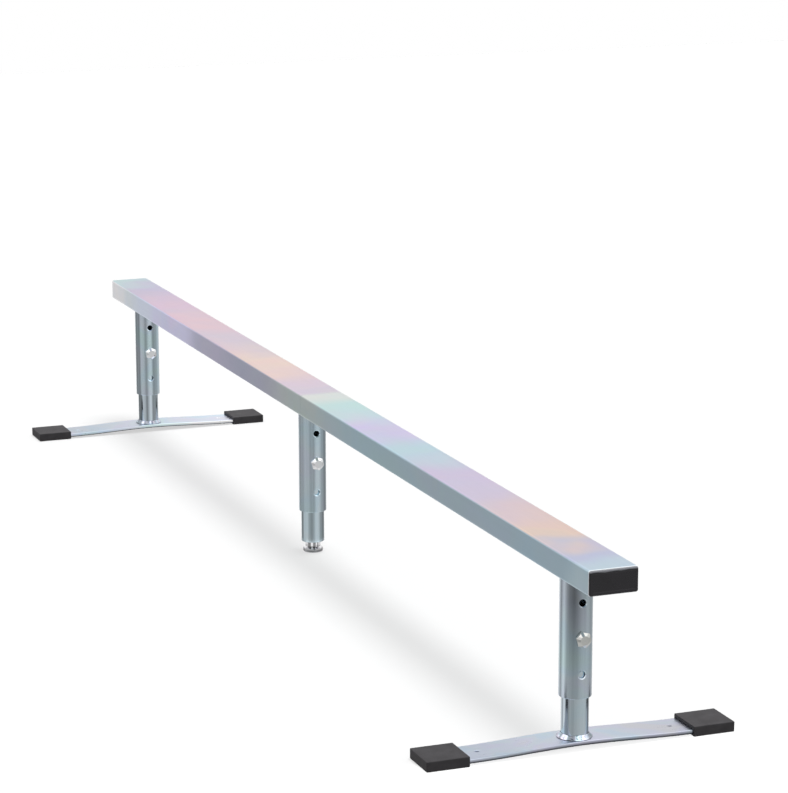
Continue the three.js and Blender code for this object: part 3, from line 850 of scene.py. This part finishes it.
def height_bolt():
    """A hex bolt on the Z axis with its seat at zero: head, washer face, shank and thread."""
    head_low, edge, support, fillet = 0.4, 0.15, 0.5, 0.3
    outline = hexagon(bolt_across, hex_corner)
    stations = [(0, bolt_head_height)]
    stations += hex_top(bolt_across, bolt_face_radius, bolt_head_height, bolt_chamfer_slope)
    stations += [(outline, head_low + support), (outline, head_low + edge), (outline - edge, head_low),
                 (bolt_seat_radius + 0.1, head_low - 0.05), (bolt_seat_radius, 0.05),
                 (bolt_seat_radius - edge, 0), (bolt_radius + fillet, 0), (bolt_radius + 0.08, -0.08),
                 (bolt_radius, -fillet)]
    stations += thread_stations(bolt_root_radius, bolt_radius, bolt_pitch, -bolt_thread_start,
                                0.3 - bolt_length)
    stations += [(bolt_root_radius - 0.1, 0.2 - bolt_length), (bolt_root_radius - 0.4, -bolt_length),
                 (0, -bolt_length)]
    return turned_rings(stations)


def hex_nut(across, height, bore_radius, face_radius):
    """A hex nut that stands on zero: turned down at both ends, with a countersunk bore."""
    sink = 0.5
    top = hex_top(across, face_radius, height, nut_chamfer_slope)[1:]
    bottom = [(radius, height - level) for radius, level in top[::-1]]
    bore = [(bore_radius + sink, 0), (bore_radius, sink), (bore_radius, height - sink),
            (bore_radius + sink, height)]
    return turned_rings(bore[-1:] + top + bottom + bore)


def flat_washer():
    """A stamped washer that stands on zero, with a rounded upper edge."""
    edge = 0.35
    hole = bolt_radius + fit_gap
    stations = [(hole, edge), (hole, washer_thickness - edge), (hole + edge, washer_thickness),
                (washer_radius - 1.2 * edge, washer_thickness),
                (washer_radius - 0.3 * edge, washer_thickness - 0.3 * edge),
                (washer_radius, washer_thickness - 1.2 * edge), (washer_radius, 0.1),
                (washer_radius - 0.1, 0), (hole + edge, 0), (hole, edge)]
    return turned_rings(stations)


def along_beam(points, seat, centre, turn=0.0):
    """Lays rings from the Z axis along the X axis at a leg's bolt height, with corners up and
    down, turned about that axis."""
    angle = math.radians(turn)
    across = points[..., 0] * math.sin(angle) + points[..., 1] * math.cos(angle)
    down = points[..., 0] * math.cos(angle) - points[..., 1] * math.sin(angle)
    return np.stack([centre + seat + points[..., 2], across, bolt_height - down], -1)


washer_seat = -socket_radius - fit_gap - washer_thickness
for name, place in leg_places.items():
    bolt_rings = along_beam(height_bolt(), socket_radius + fit_gap, place, bolt_turns[name])
    bolt_zinc = fastener_zinc if name == "near" else bright_zinc
    bolt = make_piece(f"cross_bolt_{name}", bolt_rings, bolt_zinc, sharp_degrees=28)
    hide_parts(f"height_bolt_{name}")
    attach(bolt, f"bolt_{name}")
    washer = make_piece(f"flat_washer_{name}", along_beam(flat_washer(), washer_seat, place), fastener_zinc)
    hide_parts(f"bolt_washer_{name}")
    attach(washer, f"nut_{name}")
    nut_rings = hex_nut(nut_across, nut_height, bolt_radius + fit_gap, nut_face_radius)
    nut_rings = along_beam(nut_rings, washer_seat - fit_gap - nut_height, place)
    nut = make_piece(f"cross_nut_{name}", nut_rings, fastener_zinc, sharp_degrees=28)
    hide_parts(f"bolt_nut_{name}")
    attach(nut, f"nut_{name}")

# Foot plates
# Flat bar 46 x 5 mm, pressed to a low arch between flat ends, with sheared and tumbled edges
# and a small floor-screw hole near each end, plated in pale lilac and blue.
plate_half_width = 23.0
plate_half_length = 186.0
plate_thickness = 5.0
plate_low = 2.5
plate_rise = 3.8
plate_corner = 4.0
arch_half_length = 139.0
plate_hole_radius = 2.75
plate_hole_place = 120.0
plate_hole_lip = 0.35
plate_lip = 0.9
arch_steps = 60
end_lines = (150.0, 178.0, 182.0)
side_lines = np.array([9.5, 14.0, 18.5, 21.2])
plate_finish = {
    "metal": (0.56, 0.62, 0.68), "tint": 0.7, "patches_per_metre": 15.0,
    "lines_per_metre": (350.0, 12.0, 350.0), "roughness": 0.30, "unevenness": 0.10, "relief": 0.00004,
}
# Each plate's painted shade and painted highlight by its stored rise, and at its two ends
plate_painted_light = {
    "near": ([(0.00, 0.15), (0.26, 0.15), (0.66, 1.00)], (1.08, 0.92)),
    "far": ([(0.00, 0.08), (0.20, 0.08), (0.34, 1.50), (0.95, 1.50), (1.00, 1.00)], (0.86, 1.34)),
}


def paint_plate_light(material, edge_painted_light, end_painted_light):
    """Paints light into the film by a ramp over the stored rise: painted shade under the plate
    and low on its edges, a painted highlight on the far plate's edges, and painted shade and highlight that
    drift along Y between the ends."""
    tree = material.node_tree
    rise = add_node(tree, "Attribute", attribute_name="rise").outputs["Fac"]
    reach = plate_half_length * MM
    drift = spanned(tree, "SMOOTHSTEP", axes(tree, coordinates(tree))["Y"], -reach, reach, *end_painted_light)
    shade_film(material, ramp(tree, rise, edge_painted_light), drift)


def plate_underside(across):
    """The height of the plate's underside: a cosine hump between flat ends."""
    reach = np.minimum(np.abs(across), arch_half_length) / arch_half_length
    return plate_low + plate_rise * (1 + np.cos(math.pi * reach)) / 2


def plate_side(across):
    """The plate's half width as a share: one, but for the round corners of its ends."""
    past = np.clip(np.abs(across) - (plate_half_length - plate_corner), 0, plate_corner)
    return (plate_half_width - plate_corner + np.sqrt(plate_corner ** 2 - past ** 2)) / plate_half_width


def foot_plate(centre, reach=8, cell=0.85):
    """The plate: a drilled sheet on top and one below, which meet at mid-thickness in the holes
    and round the edges."""
    half_wall = plate_thickness / 2
    back, sunk = lip_arc(plate_lip)
    drill_lines = cell * np.arange(-reach, reach + 1)
    arch_lines = np.linspace(-arch_half_length, arch_half_length, arch_steps + 1)
    clear = np.abs(np.abs(arch_lines) - plate_hole_place) > cell * reach + 1
    inside = np.sort(np.concatenate([arch_lines[clear], plate_hole_place + drill_lines,
                                     -plate_hole_place + drill_lines, end_lines, np.negative(end_lines)]))
    middle = np.concatenate([-side_lines[::-1], drill_lines, side_lines])
    columns = rim_lines(-plate_half_length, inside, plate_half_length, back)
    rows = rim_lines(-plate_half_width, middle, plate_half_width, back)
    column_sinks, row_sinks = (rim_sinks(part.size, half_wall, sunk) for part in (inside, middle))
    sinks = np.maximum(column_sinks[:, None], row_sinks[None, :])
    drills = [(side * plate_hole_place, 0.0, plate_hole_radius) for side in (-1, 1)]

    def arched_sheet(upper):
        """The upper or the lower face, with columns along Y and rows along X."""

        def place(along, across, depth):
            """The point: the arch's height plus the depth, or plus the thickness less the depth,
            and the row's distance times the half width's share."""
            height = plate_underside(along) + (plate_thickness - depth if upper else depth) + 0 * across
            return np.stack([centre + across * plate_side(along), along + 0 * across, height], -1)

        def across(along, middle):
            """The distance: the difference along Y."""
            return along - middle

        def column_at(distance, depth, middle):
            """The place back: the sum, at any depth."""
            return middle + distance

        return drilled_sheet(columns, rows, sinks, drills, place, across, column_at, plate_hole_lip,
                             plate_hole_lip, half_wall, reach)

    return join_sheets([arched_sheet(True), arched_sheet(False)])


def store_rise(piece):
    """Stores each point's height over the plate's underside, as a share of the thickness."""
    mesh = piece.data
    places = np.empty(len(mesh.vertices) * 3)
    mesh.vertices.foreach_get("co", places)
    places = places.reshape(-1, 3) / MM
    rise = (places[:, 2] - plate_underside(places[:, 1])) / plate_thickness
    mesh.attributes.new("rise", "FLOAT", "POINT").data.foreach_set("value", rise.astype(np.float32))


for name, shades in plate_painted_light.items():
    plate_zinc = plated_metal(f"plate zinc {name}", **plate_finish)
    paint_plate_light(plate_zinc, *shades)
    points, faces = foot_plate(leg_places[name])
    plate = make_piece(f"arched_plate_{name}", points, plate_zinc, faces)
    store_rise(plate)
    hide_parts(f"foot_plate_{name}")
    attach(plate, f"leg_{name}")

# Foot welds
# A heavier weld collar where each end leg meets its plate, run hot so that it puddled, with
# bright swollen lobes.
foot_weld_leg = 4.8
foot_weld_height = 5.0
# Painted reflections round the collars: dark and bright by direction, as on the sockets
collar_painted_reflections = {
    "near": [(-100, 0.90), (-80, 0.55), (-68, 1.05), (-54, 1.05), (-46, 0.35), (-26, 0.30), (-16, 1.10),
             (14, 1.15), (30, 0.60), (50, 0.40), (80, 0.85)],
    "far": [(-100, 0.70), (-76, 0.35), (-58, 0.40), (-46, 1.10), (-36, 0.50), (-20, 0.45), (-10, 1.10),
            (2, 0.60), (20, 0.55), (45, 0.85), (80, 0.85)],
}
for name, scale in collar_painted_reflections.items():
    bead = weld_fillet(leg_places[name], leg_radius + fit_gap, plate_foot_low, foot_weld_leg,
                       foot_weld_height, ripples=13, ripple=1.0, sway=0.8)
    collar_zinc = plated_metal(f"collar zinc {name}", **weld_finish)
    painted_reflection_streaks(collar_zinc, leg_places[name], scale)
    weld = make_piece(f"collar_weld_{name}", bead, collar_zinc)
    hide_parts(f"foot_weld_{name}")
    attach(weld, f"leg_{name}")

# Rubber caps
# Moulded dark grey rubber shoes, pushed over the plate's ends, with a thick top, a closed end
# and a thinner sole. The mould leaves a fine grain and slightly worn edges.
cap_rubber = moulded(
    "cap rubber", colour=(0.046, 0.043, 0.046), pale=(0.064, 0.061, 0.065), roughness=0.72,
    grain_per_metre=1400.0, relief=0.00012, specular=0.3,
)
cap_outer_end = 191.0
cap_length = 52.0
cap_width = 52.0
cap_height = 12.0
cap_edge = 0.7
cap_corner = 1.6
cap_pocket_width = 46.6
cap_pocket_height = 5.6
cap_pocket_middle = 5.0
cap_pocket_end = 186.3
cap_pocket_corner = 0.4
cap_lead_in = 0.6


def rubber_cap(centre, side):
    """A cap as one stack of rectangular rings along Y: from the middle of its end face, round
    the end's corners, back to the mouth, and along the pocket to its floor."""
    middle = cap_height / 2
    mouth = cap_outer_end - cap_length
    lip, support = 0.5, 1.0

    def body(along, inset):
        """A station of the cap's outside, smaller by an inset on each side."""
        return along, cap_width - 2 * inset, cap_height - 2 * inset, cap_edge, middle

    stations = [(cap_outer_end, cap_width - cap_height, 0.0, 0.0, middle),
                (cap_outer_end, cap_width - 2 * (cap_corner + support), cap_height - 2 * (cap_edge + support),
                 0.1, middle)]
    rounding = [(cap_outer_end - cap_corner * back, cap_width - 2 * cap_corner * inset,
                 cap_height - 2 * cap_edge * inset, cap_edge, middle)
                for back, inset in zip(*lip_arc(1.0, steps=5))]
    stations += rounding[::-1]
    stations += [body(cap_outer_end - cap_corner - support, 0), body(mouth + lip + support, 0)]
    stations += [body(mouth + back, inset) for back, inset in zip(*lip_arc(lip, steps=5))]
    stations += [(mouth, cap_pocket_width + cap_lead_in, cap_pocket_height + cap_lead_in, cap_lead_in,
                  cap_pocket_middle),
                 (mouth + cap_lead_in / 2, cap_pocket_width, cap_pocket_height, cap_pocket_corner,
                  cap_pocket_middle),
                 (cap_pocket_end, cap_pocket_width, cap_pocket_height, cap_pocket_corner, cap_pocket_middle),
                 (cap_pocket_end, cap_pocket_width - cap_pocket_height, 0.0, 0.0, cap_pocket_middle)]
    along, width, height, corner, level_middle = np.array(stations).T
    across, upward = rectangle_rings(width, height, corner)
    along = np.broadcast_to(side * along[:, None], across.shape)
    return np.stack([centre + across, along, upward + level_middle[:, None]], -1)


for name in ("near", "far"):
    for hand, side in (("left", -1), ("right", 1)):
        cap_rings = rubber_cap(leg_places[name], side)
        cap = make_piece(f"rubber_cap_{name}_{hand}", cap_rings, cap_rubber, sharp_degrees=50)
        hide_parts(f"foot_cap_{name}_{hand}")
        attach(cap, f"leg_{name}")

# Screw foot
# A turned steel disc on an M12 threaded stud under the centre leg, which screws in and out of
# an insert in the tube's end and is locked by a hex nut.
disc_radius = 14.0
disc_thickness = 5.5
stud_radius = 6.0
stud_root_radius = 5.1
stud_pitch = 1.75
stud_high = 49.5
lock_nut_across = 19.0
lock_nut_height = 9.4
lock_nut_face_radius = 7.8
lock_nut_low = disc_thickness + fit_gap
insert_radius = 13.7
insert_height = 14.0
# Painted shade over the disc by distance from its axis, dark at its rim, and painted reflections round the
# lock nut by direction
disc_painted_shade = [(0.0, 1.00), (12.2, 1.00), (13.2, 0.40), (14.0, 0.40)]
neck_painted_reflections = [(-100, 0.85), (-62, 0.85), (-56, 0.30), (-40, 0.30), (-35, 1.10), (-21, 1.10), (-17, 0.35),
                (-1, 0.35), (4, 1.10), (16, 1.10), (20, 0.35), (29, 0.35), (34, 0.90), (80, 0.90)]


def screw_foot():
    """The stud, from its tip down its thread, and the disc below it with rounded edges."""
    edge = 2.0
    back, sunk = lip_arc(edge, steps=6)
    stations = [(0, stud_high), (stud_root_radius - 0.5, stud_high),
                (stud_root_radius - 0.1, stud_high - 0.4)]
    stations += thread_stations(stud_root_radius, stud_radius, stud_pitch, stud_high - 0.5,
                                disc_thickness + 1.2)
    stations += [(stud_root_radius, disc_thickness + 0.9), (stud_root_radius + 0.2, disc_thickness + 0.2),
                 (stud_root_radius + 0.6, disc_thickness), (disc_radius - edge - 0.6, disc_thickness)]
    stations += list(zip(disc_radius - back, disc_thickness - sunk)) + list(zip(disc_radius - sunk, back))
    stations += [(disc_radius - edge - 0.6, 0), (0, 0)]
    return turned_rings(stations) + np.array([leg_places["centre"], 0, 0])


def threaded_insert():
    """The insert: a short thick ring with turned edges, flush with the tube's end."""
    edge = 0.4
    bore = stud_radius + fit_gap
    low, high = screw_foot_low, screw_foot_low + insert_height
    stations = [(bore, low + edge), (bore + edge, low), (insert_radius - edge, low),
                (insert_radius, low + edge), (insert_radius, high - edge), (insert_radius - edge, high),
                (bore + edge, high), (bore, high - edge), (bore, low + edge)]
    return turned_rings(stations) + np.array([leg_places["centre"], 0, 0])


def painted_shade_rings(material, centre, rings):
    """Paints shade into the film by a ramp over the distance from an upright axis."""
    tree = material.node_tree
    at = axes(tree, coordinates(tree))
    along = maths(tree, "SUBTRACT", at["X"], centre * MM)
    across_squared = maths(tree, "MULTIPLY", at["Y"], at["Y"])
    distance = maths(tree, "SQRT", maths(tree, "MULTIPLY_ADD", along, along, across_squared))
    reach = rings[-1][0]
    share = maths(tree, "DIVIDE", distance, reach * MM)
    shade_film(material, ramp(tree, share, [(radius / reach, shade) for radius, shade in rings]))


foot_zinc = plated_metal("foot zinc", **bright_finish)
painted_shade_rings(foot_zinc, leg_places["centre"], disc_painted_shade)
foot = make_piece("threaded_foot", screw_foot(), foot_zinc)
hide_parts("screw_foot")
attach(foot, "foot")
nut_rings = hex_nut(lock_nut_across, lock_nut_height, stud_radius + fit_gap, lock_nut_face_radius)
nut_rings = nut_rings + np.array([leg_places["centre"], 0, lock_nut_low])
# Painted reflections round the lock nut: bright and dark facets by direction
neck_zinc = plated_metal("neck zinc", **bright_finish)
painted_reflection_streaks(neck_zinc, leg_places["centre"], neck_painted_reflections)
lock_nut = make_piece("stud_lock_nut", nut_rings, neck_zinc, sharp_degrees=28)
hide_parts("foot_lock_nut")
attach(lock_nut, "leg_centre")
insert = make_piece("threaded_insert", threaded_insert(), fastener_zinc)
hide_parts("tube_insert")
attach(insert, "leg_centre")

# Floor and light
# A plain pale floor and a white room. One broad soft light hangs overhead towards the beam's
# far side, the walls give a weaker fill, and metal sees the room's soft pale and dark panels.
floor_size = 12.0
floor_drop = 0.0002
floor_colour = (0.42, 0.42, 0.42, 1)
floor_clearness = 0.58
# The floor before the near plate is lit to white, from one place to the other along X in metres
near_clearness = 0.86
near_floor = (0.830, 0.862)
sun_share = 0.58
sun_width = math.radians(22)
sun_tilt = math.radians(8)
fill_level = 0.30
fill_overhead = 0.24
white = (1, 1, 1, 1)


def staged_surface(name, points, faces):
    """A surface that isn't part of the rail, with the empty node tree of its paint."""
    mesh = bpy.data.meshes.new(name)
    mesh.from_pydata(points, [], faces)
    surface = bpy.data.objects.new(name, mesh)
    scene.collection.objects.link(surface)
    paint, tree, shader = new_material(f"{name} paint")
    tree.nodes.remove(shader)
    mesh.materials.append(paint)
    return surface, tree


def seen_straight(tree):
    """The outputs of a Light Path node, and one for what the camera sees straight, in metal or
    through glass."""
    path = add_node(tree, "LightPath").outputs
    seen = maths(tree, "MAXIMUM", path["Is Camera Ray"], path["Is Glossy Ray"])
    return path, maths(tree, "MAXIMUM", seen, path["Is Transmission Ray"])


floor_corners = [(across * floor_size / 2, along * floor_size / 2, -floor_drop)
                 for across, along in ((-1, -1), (1, -1), (1, 1), (-1, 1))]
floor, tree = staged_surface("floor", floor_corners, [(0, 1, 2, 3)])
floor.visible_glossy = False
# The white room below shows through the floor, and so does a foot that a pose pushes under it
path, seen = seen_straight(tree)
along = axes(tree, coordinates(tree))["X"]
clearness = spanned(tree, "SMOOTHSTEP", along, *near_floor, floor_clearness, near_clearness)
clear = maths(tree, "MAXIMUM", maths(tree, "MULTIPLY", seen, clearness), path["Is Shadow Ray"])
matt = add_node(tree, "BsdfDiffuse", {"Color": floor_colour})
added = add_node(tree, "AddShader", {0: matt.outputs["BSDF"],
                                     1: add_node(tree, "BsdfTransparent", {"Color": clear}).outputs["BSDF"]})
feed(tree, tree.nodes["Material Output"], {"Surface": added.outputs["Shader"]})

# The white floor as the screw foot's neck sees it: a ring card that only shows in metal
card_radii = (0.041, 0.080)
card_sides = 48
card_level = 0.85
turns = np.linspace(0, 2 * math.pi, card_sides, endpoint=False)
card_rings = turned_rings([(radius, -floor_drop / 2) for radius in card_radii], turns)
card_points = card_rings.reshape(-1, 3) + np.array([leg_places["centre"] * MM, 0, 0])
card, tree = staged_surface("card", card_points, ring_faces(len(card_radii), card_sides))
card.visible_camera = card.visible_diffuse = card.visible_shadow = card.visible_transmission = False
glow = add_node(tree, "Emission", {"Strength": card_level})
feed(tree, tree.nodes["Material Output"], {"Surface": glow.outputs["Emission"]})

sun_data = bpy.data.lights.new("overhead", "SUN")
sun_data.energy = sun_share * math.pi / math.cos(sun_tilt)
sun_data.angle = sun_width
sun = bpy.data.objects.new("overhead", sun_data)
sun.rotation_euler = (-sun_tilt, 0, 0)
sun.visible_glossy = False
scene.collection.objects.link(sun)

# The room by compass direction, in degrees from +X towards +Y, as metal sees it just below the
# horizon: the share of white there
room_gain = 1.3
room_panels = [
    (-180, 1.00), (-168, 0.85), (-160, 0.60), (-152, 0.42), (-142, 0.38), (-128, 0.72), (-116, 0.98),
    (-104, 0.80), (-90, 0.60), (-60, 0.46), (-36, 0.34), (-14, 0.46), (8, 0.62), (20, 0.62), (40, 0.54),
    (64, 0.50), (103, 0.52), (140, 0.62), (158, 0.75), (180, 1.00),
]
# What takes over from the panels by the height that metal looks at: from, to and colour
room_bands = [
    (-0.40, -0.62, (0.70, 0.70, 0.70, 1)),
    (-0.06, 0.10, (0.92, 0.92, 0.92, 1)),
    (0.45, 0.62, (1.50, 1.50, 1.50, 1)),
    (0.85, 0.96, (1.10, 1.10, 1.10, 1)),
]
world = bpy.data.worlds.new("studio")
scene.world = world
world.use_nodes = True
tree = world.node_tree
look = axes(tree, coordinates(tree, "Generated"))
panel_stops = [(degrees, share / room_gain) for degrees, share in room_panels]
panels = compass_ramp(tree, look["X"], look["Y"], panel_stops)
room = mixed(tree, "MULTIPLY", 1.0, panels, (room_gain, room_gain, room_gain, 1))
for low, high, colour in room_bands:
    room = mixed(tree, "MIX", spanned(tree, "SMOOTHSTEP", look["Z"], low, high), room, colour)
fill = maths(tree, "MULTIPLY_ADD", maths(tree, "MAXIMUM", look["Z"], 0.0), fill_overhead, fill_level)
path, seen = seen_straight(tree)
shown = mixed(tree, "MIX", seen, fill, white)
panelled = mixed(tree, "MULTIPLY", path["Is Glossy Ray"], shown, room)
feed(tree, tree.nodes["Background"], {"Color": panelled})
